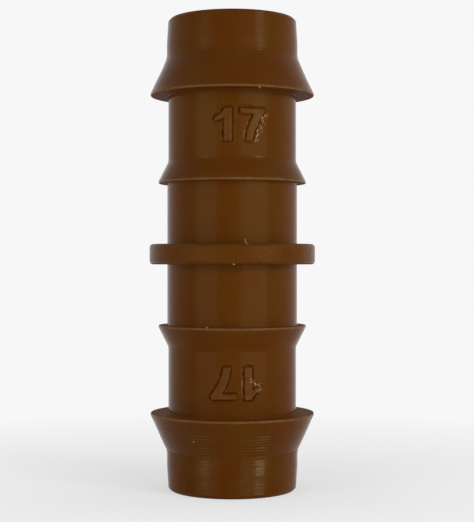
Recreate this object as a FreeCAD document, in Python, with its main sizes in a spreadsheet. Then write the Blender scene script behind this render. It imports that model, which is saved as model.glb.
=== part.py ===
# Drip line coupler
# One moulded piece: a short pipe with a stop collar at its middle and, on each side of it, a
# spigot with a small barb, a large barb and a straight nose. Millimetres, pipe axis along Z.
# It stands on the ring at one end, and the origin is the centre of that ring.
import FreeCAD, Part
import math
import os
import Sketcher

# Driving sizes: a bore, the wall round it at each stretch, and heights over those walls. The end
# barb measures 17.0 across, which is the size of the line.
SIZES = {
    "bore_diameter": 11.0,
    "bore_chamfer": 0.3,
    "barrel_wall": 1.25,
    "barrel_length": 6.3,
    "collar_height": 1.875,
    "collar_thickness": 2.1,
    "collar_edge_radius": 0.4,
    "land_wall": 1.14,
    "land_length": 6.85,
    "lip_width": 0.2,
    "inner_barb_height": 1.035,
    "inner_cone_length": 2.05,
    "inner_blend_radius": 1.0,
    "end_barb_height": 1.86,
    "end_cone_length": 3.75,
    "end_blend_radius": 2.0,
    "nose_wall": 1.3,
    "nose_length": 1.5,
    "mouth_wall": 1.14,
    "mouth_chamfer": 0.25,
    "lead_length": 2.55,
}

# Radii, as expressions of the driving sizes
BORE = "Sizes.bore_diameter / 2"
BARREL = f"{BORE} + Sizes.barrel_wall"
COLLAR = f"{BARREL} + Sizes.collar_height"
LAND = f"{BORE} + Sizes.land_wall"
INNER_LIP = f"{LAND} + Sizes.inner_barb_height"
END_LIP = f"{LAND} + Sizes.end_barb_height"
NOSE = f"{BORE} + Sizes.nose_wall"
MOUTH = f"{BORE} + Sizes.mouth_wall"

# Corners of a spigot's half section, from the middle of the collar outwards: each corner's
# name, its radius, how far it lies past the corner before it and the radius that blends it
SPIGOT_CORNERS = [
    ("barrel_start", BARREL, None, None),
    ("inner_barb_root", BARREL, "Sizes.collar_thickness / 2 + Sizes.barrel_length", None),
    ("inner_lip_back", INNER_LIP, None, None),
    ("inner_lip_front", INNER_LIP, "Sizes.lip_width", None),
    ("inner_cone_foot", LAND, "Sizes.inner_cone_length", "Sizes.inner_blend_radius"),
    ("end_barb_root", LAND, "Sizes.land_length", None),
    ("end_lip_back", END_LIP, None, None),
    ("end_lip_front", END_LIP, "Sizes.lip_width", None),
    ("end_cone_foot", NOSE, "Sizes.end_cone_length", "Sizes.end_blend_radius"),
    ("nose_shoulder", NOSE, "Sizes.nose_length", None),
    ("mouth", MOUTH, "Sizes.lead_length", None),
]
HALF_LENGTH = " + ".join(advance for _, _, advance, _ in SPIGOT_CORNERS if advance)

doc = FreeCAD.newDocument("drip_line_coupler")


def size_sheet():
    """Writes the driving sizes into a sheet, one row and one alias each."""
    sheet = doc.addObject("Spreadsheet::Sheet", "Sizes")
    for row, (alias, value) in enumerate(SIZES.items(), start=1):
        sheet.set(f"A{row}", alias)
        sheet.set(f"B{row}", str(value))
        sheet.setAlias(f"B{row}", alias)
    doc.recompute()


def origin_plane(body, role):
    """Finds one of the body's own origin planes."""
    return next(item for item in body.Origin.OriginFeatures if item.Role == role)


def new_sketch(body, name, role):
    """Adds an empty sketch on one of the body's origin planes."""
    sketch = body.newObject("Sketcher::SketchObject", name)
    sketch.AttachmentSupport = (origin_plane(body, role), [""])
    sketch.MapMode = "FlatFace"
    return sketch


def origin_point():
    """The sketch's origin, as constraints name it."""
    return (-1, 1)


def start_of(geometry):
    """The start of a line or an arc, or a point itself, as constraints name it."""
    return (geometry, 1)


def end_of(geometry):
    """The end of a line or an arc, as constraints name it."""
    return (geometry, 2)


def centre_of(geometry):
    """The centre of a circle, as constraints name it."""
    return (geometry, 3)


def worth(item, expression):
    """The number that an expression of the sheet's sizes comes to."""
    return float(item.evalExpression(expression))


def constrain(sketch, kind, *elements):
    """Adds a constraint that holds no number."""
    sketch.addConstraint(Sketcher.Constraint(kind, *elements))


def tie(sketch, name, expression, kind, *elements):
    """Adds a named dimension and binds it to a size from the sheet."""
    index = sketch.addConstraint(Sketcher.Constraint(kind, *elements, worth(sketch, expression)))
    sketch.renameConstraint(index, name)
    sketch.setExpression(f"Constraints.{name}", expression)


def draw_circle(sketch, name, radius):
    """Draws a circle on the sketch's origin, bound to a radius."""
    upwards = FreeCAD.Vector(0, 0, 1)
    circle = sketch.addGeometry(Part.Circle(FreeCAD.Vector(), upwards, worth(sketch, radius)))
    constrain(sketch, "Coincident", *centre_of(circle), *origin_point())
    tie(sketch, name, radius, "Radius", circle)


def section_points(sketch, corners):
    """Works out where the corners lie, from one end of the axis to the other."""
    points = [FreeCAD.Vector()]
    height = 0.0
    for _, radius, advance, _ in corners:
        height += worth(sketch, advance) if advance else 0.0
        points.append(FreeCAD.Vector(worth(sketch, radius), height, 0))
    points.append(FreeCAD.Vector(0, height, 0))
    return points


def blend_arc(before, corner, after, radius):
    """The arc that blends a hollow corner, running back from the side after it to the side before it."""
    back = (before - corner).normalize()
    ahead = (after - corner).normalize()
    half_angle = back.getAngle(ahead) / 2
    centre = corner + (back + ahead).normalize() * (radius / math.sin(half_angle))
    reach = radius / math.tan(half_angle)
    first = corner + ahead * reach - centre
    last = corner + back * reach - centre
    circle = Part.Circle(centre, FreeCAD.Vector(0, 0, 1), radius)
    return Part.ArcOfCircle(circle, math.atan2(first.y, first.x), math.atan2(last.y, last.x))


def draw_half_section(sketch, corners):
    """Draws a half section about the vertical axis, with its last side along that axis."""
    points = section_points(sketch, corners)
    count = len(points)
    lines = []
    for index in range(count):
        side = Part.LineSegment(points[index], points[(index + 1) % count])
        lines.append(sketch.addGeometry(side))

    # Each side meets the next at a corner, or both are tangent to the arc that blends it
    marks = [origin_point()]
    constrain(sketch, "Coincident", *start_of(lines[0]), *origin_point())
    for index, (name, _, _, blend) in enumerate(corners):
        line, following = lines[index], lines[index + 1]
        if blend is None:
            constrain(sketch, "Coincident", *end_of(line), *start_of(following))
            marks.append(end_of(line))
            continue
        before, corner, after = points[index:index + 3]
        arc = sketch.addGeometry(blend_arc(before, corner, after, worth(sketch, blend)))
        constrain(sketch, "Tangent", *end_of(line), *end_of(arc))
        constrain(sketch, "Tangent", *start_of(following), *start_of(arc))
        tie(sketch, f"{name}_blend", blend, "Radius", arc)
        mark = sketch.addGeometry(Part.Point(corner), True)
        constrain(sketch, "PointOnObject", *start_of(mark), line)
        constrain(sketch, "PointOnObject", *start_of(mark), following)
        marks.append(start_of(mark))
    constrain(sketch, "Coincident", *end_of(lines[-2]), *start_of(lines[-1]))
    constrain(sketch, "Coincident", *end_of(lines[-1]), *origin_point())

    # Each corner has its radius, and its height past the corner before it
    previous = None
    for index, (name, radius, advance, _) in enumerate(corners):
        before, mark = marks[index:index + 2]
        if radius == previous:
            constrain(sketch, "Vertical", lines[index])
        else:
            tie(sketch, f"{name}_radius", radius, "DistanceX", *origin_point(), *mark)
        if advance is None:
            constrain(sketch, "Horizontal", lines[index])
        else:
            tie(sketch, f"{name}_advance", advance, "DistanceY", *before, *mark)
        previous = radius
    constrain(sketch, "Horizontal", lines[-2])
    constrain(sketch, "Vertical", lines[-1])


def rings_at(shape, radius, height):
    """Names the circular edges of this radius at this height, one on each side of the collar."""
    near = 1e-4
    names = []
    for number, edge in enumerate(shape.Edges, start=1):
        if not isinstance(edge.Curve, Part.Circle):
            continue
        same_size = math.isclose(edge.Curve.Radius, radius, abs_tol=near)
        same_place = math.isclose(abs(edge.Curve.Center.z), height, abs_tol=near)
        if same_size and same_place:
            names.append(f"Edge{number}")
    if len(names) != 2:
        raise RuntimeError(f"{len(names)} edges of radius {radius} at height {height}, not 2")
    return names


def dress(body, kind, name, size, expression, radius, height):
    """Rounds or chamfers the edges of this radius at this height on both sides of the collar."""
    base = body.Tip
    edges = rings_at(base.Shape, worth(body, radius), worth(body, height))
    feature = body.newObject(kind, name)
    feature.Base = (base, edges)
    feature.setExpression(size, expression)
    doc.recompute()


def add_collar(body):
    """The stop collar is a disc centred on the body's XY plane, with rounded edges."""
    sketch = new_sketch(body, "collar_circle", "XY_Plane")
    draw_circle(sketch, "collar_rim", COLLAR)
    collar = body.newObject("PartDesign::Pad", "collar")
    collar.Profile = sketch
    collar.SideType = "Symmetric"
    collar.setExpression("Length", "Sizes.collar_thickness")
    doc.recompute()
    edge = (COLLAR, "Sizes.collar_thickness / 2")
    dress(body, "PartDesign::Fillet", "collar_rounds", "Radius", "Sizes.collar_edge_radius", *edge)


def add_spigots(body):
    """One spigot is turned from its half section and mirrored to the other side of the collar."""
    sketch = new_sketch(body, "spigot_section", "XZ_Plane")
    draw_half_section(sketch, SPIGOT_CORNERS)
    spigot = body.newObject("PartDesign::Revolution", "spigot")
    spigot.Profile = sketch
    spigot.ReferenceAxis = (sketch, ["V_Axis"])
    spigot.Angle = 360
    doc.recompute()
    mirrored = body.newObject("PartDesign::Mirrored", "other_spigot")
    mirrored.Originals = [spigot]
    mirrored.MirrorPlane = (origin_plane(body, "XY_Plane"), [""])
    body.Tip = mirrored
    doc.recompute()


def add_bore(body):
    """The water way is one straight bore from end to end."""
    solid = body.Tip.Shape
    sketch = new_sketch(body, "bore_circle", "XY_Plane")
    draw_circle(sketch, "bore_wall", BORE)
    bore = body.newObject("PartDesign::Pocket", "bore")
    bore.Profile = sketch
    bore.Type = "ThroughAll"
    bore.SideType = "Symmetric"
    doc.recompute()
    core = math.pi * worth(body, BORE) ** 2 * worth(body, HALF_LENGTH) * 2
    removed = solid.Volume - bore.Shape.Volume
    if not math.isclose(removed, core, rel_tol=1e-3):
        raise RuntimeError("the bore doesn't run the whole length")


def chamfer_mouths(body):
    """Both ends are chamfered inside and out, so that neither edge of the ring is sharp."""
    chamfer = "PartDesign::Chamfer"
    dress(body, chamfer, "bore_chamfers", "Size", "Sizes.bore_chamfer", BORE, HALF_LENGTH)
    dress(body, chamfer, "mouth_chamfers", "Size", "Sizes.mouth_chamfer", MOUTH, HALF_LENGTH)


def barbed_coupler():
    """Builds the coupler about its collar and stands it on one end."""
    body = doc.addObject("PartDesign::Body", "coupler_body")
    body.Label = "barbed_coupler"
    add_collar(body)
    add_spigots(body)
    add_bore(body)
    chamfer_mouths(body)
    body.setExpression("Placement.Base.z", HALF_LENGTH)
    doc.recompute()
    return body


def export(body):
    """Checks every object and the finished solid, then writes the STEP file."""
    for item in doc.Objects:
        if "Invalid" in item.State or "Error" in item.State:
            raise RuntimeError(f"{item.Label} failed: {item.State}")
    shape = body.Shape
    if shape.isNull() or not shape.isValid() or len(shape.Solids) != 1:
        raise RuntimeError(f"{body.Label} isn't one valid solid")
    os.makedirs("parts", exist_ok=True)
    shape.exportStep(f"parts/{body.Label}.step")
    box = shape.optimalBoundingBox(False, False)
    print(body.Label, "volume", round(shape.Volume, 2), "box", box)


size_sheet()
export(barbed_coupler())
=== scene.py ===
import itertools
import math

import bmesh
import bpy
import numpy as np
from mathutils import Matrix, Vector, noise


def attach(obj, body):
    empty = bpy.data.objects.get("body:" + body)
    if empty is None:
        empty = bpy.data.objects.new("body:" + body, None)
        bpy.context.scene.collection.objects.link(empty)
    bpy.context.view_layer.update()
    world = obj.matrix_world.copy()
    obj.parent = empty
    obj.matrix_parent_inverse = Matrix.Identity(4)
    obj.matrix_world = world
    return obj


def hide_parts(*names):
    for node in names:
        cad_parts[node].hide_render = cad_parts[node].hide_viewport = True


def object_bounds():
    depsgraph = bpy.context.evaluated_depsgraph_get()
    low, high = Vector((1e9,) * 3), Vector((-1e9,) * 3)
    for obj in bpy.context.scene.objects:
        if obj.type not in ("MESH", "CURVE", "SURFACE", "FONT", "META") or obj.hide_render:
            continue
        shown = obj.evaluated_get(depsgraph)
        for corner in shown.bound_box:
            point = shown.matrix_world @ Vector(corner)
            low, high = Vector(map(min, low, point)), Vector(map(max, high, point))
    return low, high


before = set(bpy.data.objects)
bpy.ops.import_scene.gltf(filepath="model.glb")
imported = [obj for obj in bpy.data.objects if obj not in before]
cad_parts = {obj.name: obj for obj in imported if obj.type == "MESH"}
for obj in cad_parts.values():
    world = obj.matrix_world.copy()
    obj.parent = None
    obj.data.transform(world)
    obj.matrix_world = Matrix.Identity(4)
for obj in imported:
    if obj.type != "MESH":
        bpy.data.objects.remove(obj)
CAD_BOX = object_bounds()

MM = 0.001
NODE = "barbed_coupler"


# What the frame says about the part

# Vertices are on one ring when they agree to this many digits of a metre
RING_DIGITS = 6

# About half of the wall's thickness
HALF_WALL = 0.5 * MM


def ring_points(node):
    """The radius and height of each ring of vertices of the turned node."""
    return {(round(math.hypot(v.co.x, v.co.y), RING_DIGITS), round(v.co.z, RING_DIGITS))
            for v in node.data.vertices}


RINGS = ring_points(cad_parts[NODE])
BOTTOM, TOP = CAD_BOX[0].z, CAD_BOX[1].z
MIDDLE = (BOTTOM + TOP) / 2
BORE_RADIUS = min(radius for radius, _ in RINGS)
COLLAR_RADIUS = min(-CAD_BOX[0].x, -CAD_BOX[0].y, CAD_BOX[1].x, CAD_BOX[1].y)
WALL_MIDDLE = BORE_RADIUS + HALF_WALL


# Section of the turned body

# Rings nearer to each other than this are one point of the section
MERGE = 0.02 * MM

# Radii at edges and roots, the least turn that is rounded, the arc's steps, and its share of a side
EDGE_ROUND = 0.12 * MM
ROOT_ROUND = 0.06 * MM
SHARP_TURN = math.radians(20)
ROUND_STEPS = 4
ROUND_SHARE = 0.45

# How far from its ends a side gets extra points, and the widest steps in the bore and outside
SUPPORT = 0.04 * MM
BORE_STEP = 2.0 * MM
LONG_STEP = 0.35 * MM


def half_section():
    """The rings in order: down the bore, out over the standing end, up the outside and back in."""
    inside = sorted((ring for ring in RINGS if ring[0] == BORE_RADIUS), key=lambda ring: -ring[1])
    outside = sorted(RINGS.difference(inside), key=lambda ring: ring[1])
    points = [Vector(ring) for ring in inside]
    for _, level in itertools.groupby(outside, key=lambda ring: ring[1]):
        last = points[-1].x
        for ring in sorted(level, key=lambda ring: abs(ring[0] - last)):
            if (Vector(ring) - points[-1]).length > MERGE:
                points.append(Vector(ring))
    return points


def round_corner(before, corner, after):
    """The points of the small arc that takes a sharp corner's place."""
    turn = -(corner - before).angle_signed(after - corner)
    if abs(turn) < SHARP_TURN:
        return [corner]
    wanted = EDGE_ROUND if turn > 0 else ROOT_ROUND
    half = math.tan(abs(turn) / 2)
    reach = min(wanted * half, ROUND_SHARE * min((corner - before).length, (after - corner).length))
    back = (before - corner).normalized()
    ahead = (after - corner).normalized()
    centre = corner + (back + ahead).normalized() * (reach / half / math.cos(turn / 2))
    start = corner + back * reach - centre
    points = []
    for step in range(ROUND_STEPS + 1):
        angle = turn * step / ROUND_STEPS
        points.append(centre + Vector((start.x * math.cos(angle) - start.y * math.sin(angle),
                                       start.x * math.sin(angle) + start.y * math.cos(angle))))
    return points


def rounded(section):
    """The section with its sharp corners rounded."""
    points = []
    for index, corner in enumerate(section):
        points += round_corner(section[index - 1], corner, section[(index + 1) % len(section)])
    return points


# Rings that the turned mould left on the noses and on the cones of the large barbs

# How far apart the rings are, how deep they cut, and how many rows of vertices each of them has
NOSE_PITCH = 0.19 * MM
CONE_PITCH = 0.30 * MM
LOWER_NOSE_RINGS = 0.047 * MM
UPPER_NOSE_RINGS = 0.013 * MM
LOWER_CONE_RINGS = 0.038 * MM
UPPER_CONE_RINGS = 0.022 * MM
RING_SAMPLES = 5

# The share of each ring that faces the collar: most of it on the noses, a short flank on the cones
NOSE_RING_RISE = 0.8
CONE_RING_RISE = 0.2

# Distances from the nearer end: where the rings start, where the nose ends, and where the rings end
RING_START = 0.35 * MM
NOSE_REACH = 4.2 * MM
RING_REACH = 7.3 * MM

# How long a stretch the rings take to fade out, and their wandering takes to come in and to fade out
RING_FADE = 0.9 * MM
SHIFT_FADE = 0.5 * MM

# The waves that the rings wander in: size in rings, count round the axis, radians a millimetre along it
WANDER_WAVES = ((0.14, 2, 0.9), (0.08, 5, -2.1))

# The slow wave that their depth follows: size, radians a millimetre along the axis, count round it
DEPTH_WAVE, DEPTH_ALONG, DEPTH_AROUND = 0.05, 5.2, 3


def end_distance(height):
    """How far heights are from the nearer end."""
    return np.minimum(height - BOTTOM, TOP - height)


def ring_pitch(distance):
    """How far apart the rings are at each distance from the end."""
    return np.where(distance < NOSE_REACH, NOSE_PITCH, CONE_PITCH)


def step_between(start, end):
    """How far apart the points from start to end may lie."""
    if max(start.x, end.x) < WALL_MIDDLE:
        return BORE_STEP
    distance = end_distance((start.y + end.y) / 2)
    upright = abs(end.y - start.y) > (end - start).length / 2
    if not upright or not RING_START < distance < RING_REACH:
        return LONG_STEP
    return ring_pitch(distance) / RING_SAMPLES


def spread(start, end):
    """Points from start up to end, close enough for the mould rings and denser beside the ends."""
    length = (end - start).length
    count = max(1, math.ceil(length / step_between(start, end)))
    shares = {index / count for index in range(count)}
    if length / count > 2 * SUPPORT:
        shares |= {SUPPORT / length, 1 - SUPPORT / length}
    return [start.lerp(end, share) for share in sorted(shares)]


def dense(section):
    """The section with points all along its sides."""
    points = []
    for index, start in enumerate(section):
        points += spread(start, section[(index + 1) % len(section)])
    return np.array(points)


def ring_wander(angles, distance):
    """How far the rings wander along the axis at each point, in rings."""
    along = distance / MM
    return sum(size * np.sin(angles * around + along * turn) for size, around, turn in WANDER_WAVES)


def ring_shift(angles, radius, height):
    """How far each ringed point is moved along the axis, so that its row follows a ring."""
    distance = end_distance(height)
    inside = np.minimum(distance - RING_START, RING_REACH - distance)
    inside = np.minimum(inside, np.abs(distance - NOSE_REACH))
    share = np.where(radius > WALL_MIDDLE, np.clip(inside / SHIFT_FADE, 0, 1), 0)
    return ring_pitch(distance) * share * ring_wander(angles, distance)


def ring_marks(angles, radius, height):
    """How deep the mould rings cut at each point: lopsided turning marks."""
    distance = end_distance(height)
    on_nose = distance < NOSE_REACH
    nose_depth = np.where(height < MIDDLE, LOWER_NOSE_RINGS, UPPER_NOSE_RINGS)
    cone_depth = np.where(height < MIDDLE, LOWER_CONE_RINGS, UPPER_CONE_RINGS)
    depth = np.where(on_nose, nose_depth, cone_depth)
    rise = np.where(on_nose, NOSE_RING_RISE, CONE_RING_RISE)
    # Rounded to a ring's rows, so that all the rings have the same flanks
    phase = np.mod(np.round(distance / ring_pitch(distance) * RING_SAMPLES) / RING_SAMPLES, 1)
    cut = np.where(phase < rise, phase / rise, (1 - phase) / (1 - rise))
    wave = np.sin(distance / MM * DEPTH_ALONG + np.sin(angles * DEPTH_AROUND))
    slow = 1 - DEPTH_WAVE + DEPTH_WAVE * wave
    fade = np.clip((RING_REACH - distance) / RING_FADE, 0, 1)
    marked = (distance > RING_START) & (radius > WALL_MIDDLE)
    return np.where(marked, depth * cut * slow * fade, 0.0)


# Low ridges along the body: two parting lines, and a flow line above the gate. Widths are half widths.

SEGMENTS = 116
FRONT = -math.pi / 2
PARTING_LINES = (0.0, math.pi)
PARTING_WIDTH = 0.06 * MM
PARTING_HEIGHT = 0.015 * MM
FLOW_LINE = FRONT + math.radians(5.6)
FLOW_WIDTH = 0.10 * MM
FLOW_HEIGHT = 0.008 * MM
FLOW_START, FLOW_END = MIDDLE + 1.1 * MM, MIDDLE + 7.3 * MM

# Where each ridge gets vertices of its own, in half widths from its middle
RIDGE_PLACES = (-1.5, -1, -0.5, 0, 0.5, 1, 1.5)


def turn_from(centre, angles):
    """How far each angle is turned from one angle, at most half a round either way."""
    return np.mod(angles - centre + math.pi, 2 * math.pi) - math.pi


def ridge(angles, centre, width, height):
    """A low ridge along the body at one angle, on a surface of the collar's size."""
    return height * np.clip(1 - np.abs(turn_from(centre, angles)) * COLLAR_RADIUS / width, 0, 1)


def ridges(angles, radius, height):
    """The parting lines, left off the collar's rim, and the flow line."""
    outside = (radius > WALL_MIDDLE) & (radius < COLLAR_RADIUS - 2 * PARTING_HEIGHT)
    parting = sum(ridge(angles, centre, PARTING_WIDTH, PARTING_HEIGHT) for centre in PARTING_LINES)
    flow = ridge(angles, FLOW_LINE, FLOW_WIDTH, FLOW_HEIGHT)
    above = outside & (height > FLOW_START) & (height < FLOW_END)
    return np.where(outside, parting, 0.0) + np.where(above, flow, 0.0)


def body_angles():
    """Even angles round the axis, with more of them at the ridges."""
    even = {2 * math.pi * index / SEGMENTS for index in range(SEGMENTS)}
    places = [(centre, PARTING_WIDTH) for centre in PARTING_LINES] + [(FLOW_LINE, FLOW_WIDTH)]
    extra = {(centre + side * width / COLLAR_RADIUS) % (2 * math.pi)
             for centre, width in places for side in RIDGE_PLACES}
    return np.array(sorted(even | extra))


# Size numbers: on each land a thin inset that carries both figures, set into a pocket in the body

# The land is the slimmest stretch between the noses
LAND_RADIUS = min(radius for radius, height in RINGS
                  if radius > WALL_MIDDLE and end_distance(height) > NOSE_REACH)

# How far the foot line of the figures is from the middle of the part
NUMBER_FOOT = 11.24 * MM

# In millimetres: the figures' height, and the inset's edges from the middle of the foot line
NUMBER_HEIGHT = 3.35
INSET_LEFT, INSET_RIGHT = -3.3, 3.6
INSET_LOW, INSET_HIGH = -1.05, 4.4

# In millimetres: the inset's grid, how proud and how thick it is, and its pocket's depth and margin
INSET_STEP = 0.033
INSET_PROUD = 0.001
INSET_THICK = 0.32
POCKET_DEPTH = 0.38
POCKET_MARGIN = 0.42

# Which way up each number stands, and how far it is turned from the front
NUMBER_SIDES = {"upper": (1, 0.0), "lower": (-1, math.radians(-0.5))}


def pocket(angles, radius, height):
    """How deep the body is set back under the two insets."""
    depth = np.zeros(np.broadcast(angles, radius, height).shape)
    for way, turn in NUMBER_SIDES.values():
        across = way * turn_from(FRONT + turn, angles) * LAND_RADIUS / MM
        up = (way * (height - MIDDLE) - NUMBER_FOOT) / MM
        inside = ((across > INSET_LEFT + POCKET_MARGIN) & (across < INSET_RIGHT - POCKET_MARGIN)
                  & (up > INSET_LOW + POCKET_MARGIN) & (up < INSET_HIGH - POCKET_MARGIN)
                  & (radius > WALL_MIDDLE))
        depth = np.where(inside, POCKET_DEPTH * MM, depth)
    return depth


# Meshes, and the moulded body

SHARP_EDGE = math.radians(35)

# The name under which a mesh keeps how much painted highlight each vertex has
PAINTED_HIGHLIGHT = "highlight_paint"

# A barb's lip is less tall than the first of these, and its painted highlight line reaches about as far
# round as the second
LIP_TALL = 0.3 * MM
LIP_HIGHLIGHT_REACH = 0.11 * MM


def closed_grid(name, points):
    """A mesh from a grid of points that closes on itself both ways."""
    rows, columns = points.shape[:2]
    index = np.arange(rows * columns).reshape(rows, columns)
    ahead = np.roll(index, -1, axis=0)
    beside = np.roll(index, -1, axis=1)
    both = np.roll(ahead, -1, axis=1)
    faces = np.stack([index, beside, both, ahead], axis=-1).reshape(-1, 4)
    mesh = bpy.data.meshes.new(name)
    mesh.from_pydata(points.reshape(-1, 3).tolist(), [], faces.tolist())
    return mesh


def add_piece(name, mesh):
    """Shades a mesh smooth up to its sharp edges and links it to the scene as an object."""
    mesh.validate()
    mesh.shade_smooth()
    mesh.set_sharp_from_angle(angle=SHARP_EDGE)
    piece = bpy.data.objects.new(name, mesh)
    bpy.context.scene.collection.objects.link(piece)
    return piece


def add_highlight_paint(mesh, highlight_paint):
    """Keeps how much painted highlight each vertex has with its mesh."""
    mesh.attributes.new(PAINTED_HIGHLIGHT, "FLOAT", "POINT").data.foreach_set("value", highlight_paint.ravel().astype(np.float32))


def lip_highlight(corners, radius, height):
    """How strong the painted highlight line along the barbs' lips is at each point, from 0 to 1. A barb's
    lip is a short upright side of the section.
    """
    highlight_paint = np.zeros(radius.shape)
    for start, end in zip(corners, corners[1:]):
        upright = start.x == end.x and start.x > WALL_MIDDLE
        if upright and abs(end.y - start.y) < LIP_TALL:
            middle = (start + end) / 2
            distance = np.hypot(radius - middle.x, height - middle.y)
            highlight_paint = np.maximum(highlight_paint, np.exp(-(distance / LIP_HIGHLIGHT_REACH) ** 2))
    return highlight_paint


def coupler_body():
    """The moulded body, turned from the CAD section with rounded edges, mould rings and ridges."""
    corners = half_section()
    section = dense(rounded(corners))
    radius, height = section[:, :1], section[:, 1:]
    sweep = body_angles()[None, :]
    shown = radius - ring_marks(sweep, radius, height) + ridges(sweep, radius, height)
    shown = np.minimum(shown, COLLAR_RADIUS) - pocket(sweep, radius, height)
    tall = height + ring_shift(sweep, radius, height)
    points = np.stack([shown * np.cos(sweep), shown * np.sin(sweep), tall], axis=-1)
    mesh = closed_grid("coupler_body", points)
    # Pale painted highlight lines along the barbs' lips, kept with the mesh
    add_highlight_paint(mesh, np.broadcast_to(lip_highlight(corners, radius, height), shown.shape))
    return add_piece("coupler_body", mesh)


# The figures' outlines

CURVE_STEPS = 10


def curve_points(start, control, end):
    """Points along a quadratic curve, without its start."""
    points = []
    for index in range(1, CURVE_STEPS + 1):
        share = index / CURVE_STEPS
        first = Vector(start).lerp(Vector(control), share)
        second = Vector(control).lerp(Vector(end), share)
        points.append(tuple(first.lerp(second, share)))
    return points


def outline_of_one():
    """The figure 1."""
    left, right, top = -1.46, -0.63, NUMBER_HEIGHT
    shoulder = (-1.40, top)
    flag_top, flag_bottom = (-2.44, 2.42), (-2.42, 1.95)
    return [
        (left, 0.0), (right, 0.0), (right, top), shoulder,
        *curve_points(shoulder, (-1.76, 2.62), flag_top),
        flag_bottom,
        *curve_points(flag_bottom, (-1.80, 2.05), (left, 2.38)),
    ]


def outline_of_seven():
    """The figure 7."""
    left, right, top, bar = 0.15, 2.75, NUMBER_HEIGHT - 0.04, 2.70
    foot_left, foot_right, crook = (0.70, 0.0), (1.47, 0.0), (1.55, bar)
    return [
        foot_left, foot_right,
        *curve_points(foot_right, (1.60, 1.45), (right, 2.85)),
        (right, top), (left, top), (left, bar), crook,
        *curve_points(crook, (0.78, 1.45), foot_left)[:-1],
    ]


def outline_distance(points, outline):
    """The distance from each point to a closed outline, negative inside it."""
    start = np.array(outline)
    along = np.roll(start, -1, axis=0) - start
    offset = points[:, None, :] - start
    share = np.clip((offset * along).sum(axis=-1) / (along ** 2).sum(axis=-1), 0, 1)
    nearest = np.linalg.norm(offset - share[..., None] * along, axis=-1).min(axis=1)
    crossed = (start[:, 1] > points[:, 1:]) != (np.roll(start[:, 1], -1) > points[:, 1:])
    rise = np.where(along[:, 1] == 0, 1, along[:, 1])
    meets = start[:, 0] + (points[:, 1:] - start[:, 1]) * along[:, 0] / rise
    inside = (crossed & (points[:, :1] < meets)).sum(axis=1) % 2 == 1
    return np.where(inside, -nearest, nearest)


# The figures' relief, in millimetres. A place is a distance from a figure's edge, negative inside it.

# How high a figure stands and how wide its flank is, then a rim on it, a moat and a lip round it
FIGURE_RELIEF = 0.11
FLANK_SPAN = 0.09
RIM_PLACE, RIM_WIDTH, RIM_RELIEF = -0.13, 0.055, 0.035
MOAT_PLACE, MOAT_WIDTH, MOAT_DEPTH = 0.06, 0.080, 0.17
LIP_PLACE, LIP_WIDTH, LIP_RELIEF = 0.22, 0.07, 0.025

# How the figures' edges wander, how uneven the moat is, and the grain of their tops
RAGGED, RAGGED_GRAIN = 0.05, 0.35
MOAT_GRAIN, MOAT_MEAN, MOAT_CHANGE = 0.55, 0.7, 1.1
MOAT_LEAST, MOAT_MOST = 0.15, 1.2
MOAT_LEAN = 0.06
TOP_RELIEF, TOP_GRAIN = 0.014, 0.12

# The layers of noise for edges, tops, moat and patches of painted highlight: one up on one land, one down
# on the other
EDGE_LAYER, TOP_LAYER, MOAT_LAYER, PATCH_LAYER = 0, 5, 9, 13


def bell(value, centre, width):
    """A smooth bump of height one round a centre."""
    return np.exp(-((value - centre) / width) ** 2)


def smooth_step(value):
    """A value held between 0 and 1 and eased towards both."""
    held = np.clip(value, 0, 1)
    return held * held * (3 - 2 * held)


def noise_map(places, grain, layer):
    """Noise between about -1 and 1 at each place, with lumps of the grain's size."""
    return np.array([noise.noise(Vector((x / grain, y / grain, layer))) for x, y in places])


def figure_distance(places):
    """The distance from each place to the nearer figure, negative inside it."""
    return np.minimum(outline_distance(places, outline_of_one()),
                      outline_distance(places, outline_of_seven()))


def figure_relief(places, way):
    """The height over the land: raised figures with grainy tops and an uneven moat round them."""
    wander = RAGGED * noise_map(places, RAGGED_GRAIN, EDGE_LAYER + way)
    distance = figure_distance(places) + wander
    leaning = figure_distance(places + (way * MOAT_LEAN, 0)) + wander
    inside = smooth_step(0.5 - distance / FLANK_SPAN)
    top = FIGURE_RELIEF + TOP_RELIEF * noise_map(places, TOP_GRAIN, TOP_LAYER + way)
    uneven = MOAT_MEAN + MOAT_CHANGE * noise_map(places, MOAT_GRAIN, MOAT_LAYER + way)
    moat = MOAT_DEPTH * np.clip(uneven, MOAT_LEAST, MOAT_MOST)
    return (top * inside + RIM_RELIEF * bell(distance, RIM_PLACE, RIM_WIDTH)
            - moat * bell(leaning, MOAT_PLACE, MOAT_WIDTH)
            + LIP_RELIEF * bell(distance, LIP_PLACE, LIP_WIDTH))


# Scratches: beside the slanted stroke of the upper 7, and round the flag of the lower 1
SCRATCH_LINES = {
    "upper": (Vector((1.75, 0.0)), Vector((2.65, 2.7))),
    "lower": (Vector((-1.25, 1.3)), Vector((-2.45, 2.3))),
}
SCRATCH_SPREAD = 0.40
SCRATCH_RELIEF = 0.035

# The scratches' grain across and along their line, and their strength where painted pale glint flecks on
# them start and are full
SCRATCH_GRAIN = (0.11, 0.45)
FLECK_START, FLECK_FULL = 0.08, 0.34

# Where the lip beside a figure gets a painted pale highlight line on one side: its middle and reach on
# each side's number
LIP_GLINT = {"upper": ((0.87, 1.25), 1.4), "lower": ((-0.46, 1.7), 1.5)}

# How far that painted highlight reaches to each side of the lip's crest, and how strong it is on average
LIP_GLINT_REACH = 0.06
LIP_GLINT_MEAN = 0.6

# Levels of painted colour: a lighter brown highlight, pale painted glints, a figure's top made lighter,
# and a painted highlight on one side of its rim
SHEEN_LEVEL, GLINT_LEVEL = 1.0, 2.0
TOP_LIGHTENING, RIM_HIGHLIGHT = 0.26, 0.4


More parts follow.
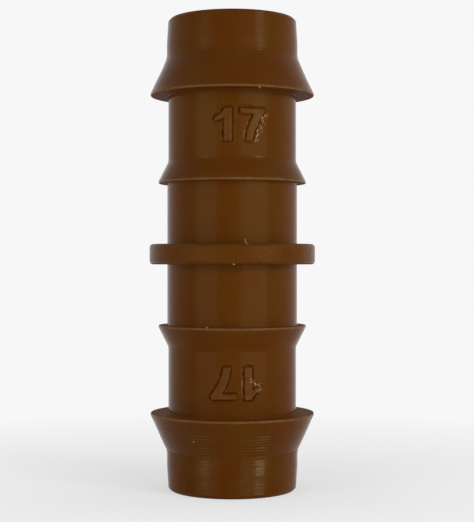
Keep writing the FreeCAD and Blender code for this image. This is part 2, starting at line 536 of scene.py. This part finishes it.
def scratches(side, x, y):
    """How strong the scratches are at one point, from about -1 for a groove to 1 for a ridge."""
    start, end = SCRATCH_LINES[side]
    stroke = end - start
    place = Vector((x, y)) - start
    along = place.dot(stroke) / stroke.length
    across = place.dot(stroke.orthogonal()) / stroke.length
    beyond = max(0.0, -along, along - stroke.length)
    fade = math.exp(-(across ** 2 + beyond ** 2) / SCRATCH_SPREAD ** 2)
    return fade * noise.noise(Vector((across / SCRATCH_GRAIN[0], along / SCRATCH_GRAIN[1], 0)))


def number_highlight(places, side, scratches_and_glints):
    """How much painted highlight each place has: 0 none, 1 a lighter brown, and 2 pale glints on the
    scratches and on one side of the figures' lips. Figure tops are made lighter, and one side of their
    rims gets a painted highlight.
    """
    way = NUMBER_SIDES[side][0]
    middle, reach = LIP_GLINT[side]
    glint_flecks = np.clip((scratches_and_glints - FLECK_START) / (FLECK_FULL - FLECK_START), 0, 1)
    span = (way * LIP_GLINT_REACH, 0)
    distance = figure_distance(places)
    fall = (figure_distance(places - span) - figure_distance(places + span)) / LIP_GLINT_REACH
    near = np.exp(-((places - middle) ** 2).sum(axis=1) / reach ** 2)
    patchy = np.clip(LIP_GLINT_MEAN + noise_map(places, RAGGED_GRAIN, PATCH_LAYER + way), 0, 1)
    lip = bell(distance, LIP_PLACE, LIP_GLINT_REACH) * np.clip(fall, 0, 1) * near * patchy
    top = TOP_LIGHTENING * np.clip(-distance / FLANK_SPAN, 0, 1)
    rim = RIM_HIGHLIGHT * bell(distance, RIM_PLACE, RIM_WIDTH) * np.clip(-fall, 0, 1)
    return np.maximum(GLINT_LEVEL * np.maximum(glint_flecks, lip), top + rim)


# The insets' meshes

def inset_faces(rows, columns):
    """The faces of a plate: its grid on top, strips below it and along two sides, and two whole sides."""
    top = np.arange(rows * columns).reshape(rows, columns)
    low, high = rows * columns + np.arange(2 * columns).reshape(2, columns)
    faces = np.stack([top[:-1, :-1], top[:-1, 1:], top[1:, 1:], top[1:, :-1]], axis=-1).reshape(-1, 4)
    strips = [(top[0], low), (low, high), (high, top[-1])]
    for first, second in strips:
        faces = np.vstack([faces, np.stack([second[:-1], second[1:], first[1:], first[:-1]], axis=-1)])
    left = [*top[::-1, 0].tolist(), int(low[0]), int(high[0])]
    right = [*top[:, -1].tolist(), int(high[-1]), int(low[-1])]
    return [*faces.tolist(), left[::-1], right[::-1]]


def number_inset(side):
    """The inset with the number on one land, set into the body's pocket."""
    way, turn = NUMBER_SIDES[side]
    across = np.linspace(INSET_LEFT, INSET_RIGHT, round((INSET_RIGHT - INSET_LEFT) / INSET_STEP) + 1)
    up = np.linspace(INSET_LOW, INSET_HIGH, round((INSET_HIGH - INSET_LOW) / INSET_STEP) + 1)
    places = np.stack(np.meshgrid(across, up), axis=-1).reshape(-1, 2)
    scratches_and_glints = np.array([scratches(side, x, y) for x, y in places])
    relief = figure_relief(places, way) + SCRATCH_RELIEF * scratches_and_glints + INSET_PROUD
    under = np.array([(x, y) for y in (INSET_LOW, INSET_HIGH) for x in across])
    # Painted highlights and lighter figure tops, kept with the mesh; the plate's underside gets none
    highlight_paint = np.concatenate([number_highlight(places, side, scratches_and_glints), np.zeros(len(under))])
    places = np.vstack([places, under])
    relief = np.concatenate([relief, np.full(len(under), -INSET_THICK)])
    radius = LAND_RADIUS + relief * MM
    angle = FRONT + turn + way * places[:, 0] * MM / LAND_RADIUS
    height = MIDDLE + way * (NUMBER_FOOT + places[:, 1] * MM)
    points = np.stack([radius * np.cos(angle), radius * np.sin(angle), height], axis=-1)
    name = f"{side}_size_number"
    mesh = bpy.data.meshes.new(name)
    mesh.from_pydata(points.tolist(), [], inset_faces(len(up), len(across)))
    add_highlight_paint(mesh, highlight_paint)
    return add_piece(name, mesh)


# Nubs and specks of flash

# Degrees from the front, then height, radius, half width and half height in millimetres
FLASH = {
    "gate_nub_upper": (5.6, 25.72, 6.76, 0.09, 0.28),
    "gate_nub_rim": (4.3, 25.42, 8.36, 0.15, 0.12),
    "gate_nub_lower": (-4.3, 23.50, 8.40, 0.15, 0.16),
    "speck_upper_lip": (13.4, 40.88, 8.36, 0.12, 0.12),
    "speck_lower_lip": (-24.9, 17.12, 7.52, 0.12, 0.12),
    "speck_lower_cone": (-36.0, 5.73, 7.53, 0.11, 0.10),
    "speck_lower_end": (18.0, 0.22, 6.50, 0.12, 0.10),
}
FLASH_ROUGH = 0.25
FLASH_LUMPS = 1.4
FLASH_FLAT = 0.6
# How far the flash is painted towards the pale glint colour
FLASH_GLINT = 1.3
FLASH_DIVISIONS = 3


def flash_nub(name, turn, height, radius, width, tall):
    """A small lump of flash, rough and flattened against the surface that it stands on."""
    angle = math.radians(turn)
    mesh = bmesh.new()
    bmesh.ops.create_icosphere(mesh, subdivisions=FLASH_DIVISIONS, radius=1)
    for vert in mesh.verts:
        lump = 1 + FLASH_ROUGH * noise.noise(vert.co * FLASH_LUMPS + Vector((turn, height, 0)))
        side = vert.co.x * width * lump
        out = radius + vert.co.y * width * FLASH_FLAT * lump
        vert.co = Vector((out * math.sin(angle) + side * math.cos(angle),
                          -out * math.cos(angle) + side * math.sin(angle),
                          height + vert.co.z * tall * lump)) * MM
    bmesh.ops.recalc_face_normals(mesh, faces=mesh.faces)
    data = bpy.data.meshes.new(name)
    mesh.to_mesh(data)
    mesh.free()
    # The flash lumps are painted pale, as glints
    add_highlight_paint(data, np.full(len(data.vertices), FLASH_GLINT))
    return add_piece(name, data)


# Brown plastic

BROWN_RED = (0.086, 0.0215, 0.0010, 1.0)
BROWN_OLIVE = (0.085, 0.0275, 0.0014, 1.0)
# A lighter brown for painted highlights on lips, figures and flash and for the collar's speckle, and a
# pale for painted glints
SPECKLE_AND_SHEEN_BROWN = (0.165, 0.082, 0.030, 1.0)
GLINT_PALE = (0.36, 0.235, 0.125, 1.0)
GLOSS_IOR = 1.15
GLOSS_TINT = (1.0, 0.85, 0.5, 1.0)

# The roughness of upright faces and of faces across the axis, and the lean where the second comes in
ROUGHNESS = (0.17, 0.21)
FLAT_ROUGHNESS = 0.65
FLAT_SLOPES = (0.45, 0.80)

# The noises: lumps to a millimetre and detail, then the stretch of the noise that is used
DRIFT, DRIFT_RANGE = (0.25, 2.0), (0.35, 0.65)
CLOUD, CLOUD_RANGE = (0.8, 3.0), (0.3, 0.7)
PATCHES, PATCHES_RANGE = (1.1, 2.0), (0.3, 0.7)
GRAIN, SPECKLE_RANGE = (5.0, 1.0), (0.50, 0.75)
DRAG = (1.6, 2.0)
SKIN = (2.6, 2.0)

# How much the patches leave of the painted highlight, and how light the collar's speckle looks
PATCHES_SHARE = (0.45, 1.0)
SPECKLE_SHARE = (0.0, 0.09)

# The drag marks' scale by axis, drawn out along the pipe, and the depths of the bumps
DRAG_SCALE = (1, 1, 0.12)
DRAG_DEPTH = 0.014 * MM
SKIN_DEPTH = 0.008 * MM
GRAIN_DEPTH = 0.06 * MM

# Where the collar's grain starts, in millimetres from the axis, and how far it takes to come in
GRAIN_RADIUS = COLLAR_RADIUS / MM - 0.35
GRAIN_EDGE = 0.2


def new_node(tree, kind, **inputs):
    """Adds a shader node and sets or links its inputs by name."""
    node = tree.nodes.new(kind)
    for name, value in inputs.items():
        socket = node.inputs[name.replace("_", " ")]
        if isinstance(value, bpy.types.NodeSocket):
            tree.links.new(value, socket)
        else:
            socket.default_value = value
    return node


def stretched(tree, position, scale):
    """The position in millimetres, scaled by axis."""
    mapping = new_node(tree, "ShaderNodeMapping", Vector=position)
    mapping.inputs["Scale"].default_value = [part / MM for part in scale]
    return mapping.outputs["Vector"]


def noise_value(tree, position, scale, detail):
    """A noise value between 0 and 1 over the position."""
    return new_node(tree, "ShaderNodeTexNoise", Vector=position, Scale=scale, Detail=detail).outputs["Fac"]


def ramp(tree, value, from_range, to_range=(0.0, 1.0)):
    """The value, carried from one range to another and held inside it."""
    node = new_node(tree, "ShaderNodeMapRange", Value=value)
    node.inputs["From Min"].default_value, node.inputs["From Max"].default_value = from_range
    node.inputs["To Min"].default_value, node.inputs["To Max"].default_value = to_range
    return node.outputs["Result"]


def maths(tree, operation, first, second=0.0):
    """One sum over one or two values."""
    node = tree.nodes.new("ShaderNodeMath")
    node.operation = operation
    for socket, value in zip(node.inputs, (first, second)):
        if isinstance(value, bpy.types.NodeSocket):
            tree.links.new(value, socket)
        else:
            socket.default_value = value
    return node.outputs["Value"]


def new_material(name):
    """An empty node material."""
    material = bpy.data.materials.new(name)
    material.use_nodes = True
    material.node_tree.nodes.clear()
    return material, material.node_tree


def colour_between(tree, factor, first, second):
    """A colour between two colours."""
    mix = tree.nodes.new("ShaderNodeMix")
    mix.data_type = "RGBA"
    tree.links.new(factor, next(socket for socket in mix.inputs if socket.identifier == "Factor_Float"))
    ends = [socket for socket in mix.inputs if socket.type == "RGBA"]
    for socket, colour in zip(ends, (first, second)):
        if isinstance(colour, bpy.types.NodeSocket):
            tree.links.new(colour, socket)
        else:
            socket.default_value = colour
    return next(socket for socket in mix.outputs if socket.type == "RGBA")


def collar_mask(tree, position):
    """1 on the collar's rim and 0 elsewhere, from the distance to the pipe axis."""
    flat = stretched(tree, position, (1, 1, 0))
    length = new_node(tree, "ShaderNodeVectorMath", Vector=flat)
    length.operation = "LENGTH"
    return ramp(tree, length.outputs["Value"], (GRAIN_RADIUS, GRAIN_RADIUS + GRAIN_EDGE))


def flat_roughness(tree):
    """The roughness of the faces across the pipe axis, which the mould left dull, and 0 elsewhere."""
    normal = tree.nodes.new("ShaderNodeTexCoord").outputs["Normal"]
    along = new_node(tree, "ShaderNodeSeparateXYZ", Vector=normal).outputs["Z"]
    return ramp(tree, maths(tree, "ABSOLUTE", along), FLAT_SLOPES, (0.0, FLAT_ROUGHNESS))


def bump(tree, height, depth, normal=None):
    """The normal bent by a height from 0 to 1 that stands for this depth."""
    node = new_node(tree, "ShaderNodeBump", Height=height, Strength=1.0, Distance=depth)
    if normal is not None:
        tree.links.new(normal, node.inputs["Normal"])
    return node.outputs["Normal"]


def brown_plastic():
    """Satin brown plastic: slow colour drift, painted highlights and glints on lips, figures and flash,
    faint drag marks and a grainy collar rim.
    """
    material, tree = new_material("brown_plastic")
    place = tree.nodes.new("ShaderNodeTexCoord").outputs["Object"]
    plain = stretched(tree, place, (1, 1, 1))
    drawn = stretched(tree, place, DRAG_SCALE)

    drift = ramp(tree, noise_value(tree, plain, *DRIFT), DRIFT_RANGE)
    moulded = colour_between(tree, drift, BROWN_RED, BROWN_OLIVE)
    # The mesh attribute paints highlights: up to 1 a lighter brown, from 1 to 2 pale glints
    highlight_attribute = tree.nodes.new("ShaderNodeAttribute")
    highlight_attribute.attribute_name = PAINTED_HIGHLIGHT
    grain = maths(tree, "MULTIPLY", noise_value(tree, plain, *GRAIN), collar_mask(tree, place))
    speckle = ramp(tree, grain, SPECKLE_RANGE, SPECKLE_SHARE)
    patches = ramp(tree, noise_value(tree, plain, *PATCHES), PATCHES_RANGE, PATCHES_SHARE)
    sheen_and_speckle = maths(tree, "MAXIMUM", maths(tree, "MULTIPLY", highlight_attribute.outputs["Fac"], patches), speckle)
    speckled_and_sheened = colour_between(tree, sheen_and_speckle, moulded, SPECKLE_AND_SHEEN_BROWN)
    scratches_and_glints = ramp(tree, highlight_attribute.outputs["Fac"], (SHEEN_LEVEL, GLINT_LEVEL))
    tint = colour_between(tree, scratches_and_glints, speckled_and_sheened, GLINT_PALE)
    polished = ramp(tree, noise_value(tree, plain, *CLOUD), CLOUD_RANGE, ROUGHNESS)
    rough = maths(tree, "MAXIMUM", polished, flat_roughness(tree))

    normal = bump(tree, noise_value(tree, drawn, *DRAG), DRAG_DEPTH)
    normal = bump(tree, noise_value(tree, plain, *SKIN), SKIN_DEPTH, normal)
    normal = bump(tree, grain, GRAIN_DEPTH, normal)

    shader = new_node(tree, "ShaderNodeBsdfPrincipled", Base_Color=tint, Roughness=rough, Normal=normal,
                      IOR=GLOSS_IOR, Specular_Tint=GLOSS_TINT)
    out = tree.nodes.new("ShaderNodeOutputMaterial")
    tree.links.new(shader.outputs["BSDF"], out.inputs["Surface"])
    return material


# Light: soft boxes and strips in front, lamps behind and overhead, and a pale world that lights dimly

PALE = (0.93, 0.93, 0.93, 1.0)
VIEW_TURN = math.radians(-5.6)

# How strongly the world lights the part, as a share of the strength that its backdrop is seen at
AMBIENT = 0.17

# Turn from the camera's side and lift in degrees, distance in metres, width and tallness in degrees,
# share of plain light, and whether the gloss shows it. The boxes in front stand close, so that the
# lower half mirrors them too. The strips stand higher, where mainly the rings on the lower nose and
# the lower large barb mirror them.
LAMPS = {
    "front_left_box": (-45, 4.5, 0.09, 38, 37, 0.27, True),
    "front_right_box": (38, 4.5, 0.09, 48, 37, 0.45, True),
    "left_strip": (-50, 19, 1.0, 14, 9, 0.08, True),
    "right_strip": (50, 19, 1.0, 14, 9, 0.25, True),
    "back_left": (-120, 6, 0.4, 35, 12, 0.27, False),
    "back_right": (120, 6, 0.4, 35, 12, 0.36, False),
    "back": (180, 6, 0.4, 35, 12, 0.22, False),
    "overhead": (0, 88, 0.4, 40, 40, 0.14, False),
}


def view_direction(turn, lift=0.0):
    """The direction from the part towards a place, turned right from the camera's side and lifted."""
    angle = VIEW_TURN + turn
    return Vector((math.cos(lift) * math.sin(angle), -math.cos(lift) * math.cos(angle), math.sin(lift)))


def soft_lamp(name, turn, lift, distance, wide, tall, share, in_gloss):
    """A soft lamp that gives a surface facing it this share of plain light, pi watts a square metre."""
    data = bpy.data.lights.new(name, "AREA")
    data.shape = "RECTANGLE"
    data.size = 2 * distance * math.tan(math.radians(wide) / 2)
    data.size_y = 2 * distance * math.tan(math.radians(tall) / 2)
    data.energy = share * (math.pi * distance) ** 2
    lamp = bpy.data.objects.new(name, data)
    bpy.context.scene.collection.objects.link(lamp)
    back = view_direction(math.radians(turn), math.radians(lift))
    lamp.location = Vector((0, 0, MIDDLE)) + back * distance
    lamp.rotation_euler = back.to_track_quat("Z", "Y").to_euler()
    lamp.visible_camera = False
    lamp.visible_transmission = False
    lamp.visible_glossy = in_gloss


def background_rays(tree):
    """1 on the rays that show the background: the camera's, off gloss and through clear matter."""
    path = tree.nodes.new("ShaderNodeLightPath").outputs
    seen = maths(tree, "ADD", path["Is Camera Ray"], path["Is Glossy Ray"])
    return maths(tree, "ADD", seen, path["Is Transmission Ray"])


def studio_world():
    """A pale backdrop, in the gloss too, that lights the part dimly and evenly."""
    world = bpy.data.worlds.new("studio")
    bpy.context.scene.world = world
    world.use_nodes = True
    tree = world.node_tree
    tree.nodes.clear()
    strength = ramp(tree, background_rays(tree), (0.0, 1.0), (AMBIENT, 1.0))
    plain = new_node(tree, "ShaderNodeBackground", Color=PALE, Strength=strength)
    out = tree.nodes.new("ShaderNodeOutputWorld")
    tree.links.new(plain.outputs["Background"], out.inputs["Surface"])


# Floor

FLOOR_SIZE = 4.0

# Where the floor starts and ends fading into the backdrop, and its share of the backdrop near the part
FADE_START, FADE_END = 12 * MM, 70 * MM
FADE_NEAR = 0.6


def floor_material():
    """Pale floor that keeps the part's shadow near it and fades into the backdrop further out."""
    material, tree = new_material("pale_floor")
    seen = background_rays(tree)
    place = tree.nodes.new("ShaderNodeTexCoord").outputs["Object"]
    far = new_node(tree, "ShaderNodeVectorMath", Vector=place)
    far.operation = "LENGTH"
    fade = ramp(tree, far.outputs["Value"], (FADE_START, FADE_END), (FADE_NEAR, 1.0))
    lit = new_node(tree, "ShaderNodeBsdfDiffuse", Color=PALE)
    plain = new_node(tree, "ShaderNodeEmission", Color=PALE, Strength=1.0)
    mix = new_node(tree, "ShaderNodeMixShader", Fac=maths(tree, "MULTIPLY", fade, seen))
    tree.links.new(lit.outputs["BSDF"], mix.inputs[1])
    tree.links.new(plain.outputs["Emission"], mix.inputs[2])
    out = tree.nodes.new("ShaderNodeOutputMaterial")
    tree.links.new(mix.outputs["Shader"], out.inputs["Surface"])
    return material


def studio_floor():
    """The floor, level with the standing end."""
    half = FLOOR_SIZE / 2
    corners = [(-half, -half, BOTTOM), (half, -half, BOTTOM), (half, half, BOTTOM), (-half, half, BOTTOM)]
    mesh = bpy.data.meshes.new("floor")
    mesh.from_pydata(corners, [], [(0, 1, 2, 3)])
    mesh.materials.append(floor_material())
    floor = bpy.data.objects.new("floor", mesh)
    bpy.context.scene.collection.objects.link(floor)


# Camera, from the photograph: 474 by 522 pixels

PHOTO_WIDTH, PHOTO_HEIGHT = 474, 522
AXIS_COLUMN = 232.28
FOCAL_PIXELS = 1321.8
CAMERA_DISTANCE = 138.0 * MM
CAMERA_HEIGHT = MIDDLE - 0.70 * MM
CLIP_START = 10 * MM
SENSOR = 36.0


def photo_camera():
    """A level camera that sees the part as the photograph does."""
    data = bpy.data.cameras.new("photo_camera")
    data.sensor_width = SENSOR
    data.lens = FOCAL_PIXELS / PHOTO_HEIGHT * SENSOR
    data.clip_start = CLIP_START
    camera = bpy.data.objects.new("photo_camera", data)
    bpy.context.scene.collection.objects.link(camera)
    back = view_direction(0)
    right = Vector((0, 0, 1)).cross(back)
    aside = (PHOTO_WIDTH / 2 - AXIS_COLUMN) / FOCAL_PIXELS * CAMERA_DISTANCE
    camera.location = back * CAMERA_DISTANCE + right * aside + Vector((0, 0, CAMERA_HEIGHT))
    camera.rotation_euler = (-back).to_track_quat("-Z", "Y").to_euler()
    bpy.context.scene.camera = camera


# The scene

def dress(pieces):
    """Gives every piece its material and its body."""
    plastic = brown_plastic()
    for piece in pieces:
        piece.data.materials.append(plastic)
        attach(piece, "root")


body = coupler_body()
numbers = [number_inset(side) for side in NUMBER_SIDES]
nubs = [flash_nub(name, *shape) for name, shape in FLASH.items()]
dress([body, *numbers, *nubs])
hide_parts(NODE)

studio_world()
studio_floor()
for name, setting in LAMPS.items():
    soft_lamp(name, *setting)
photo_camera()
bpy.context.scene.view_settings.view_transform = "Standard"
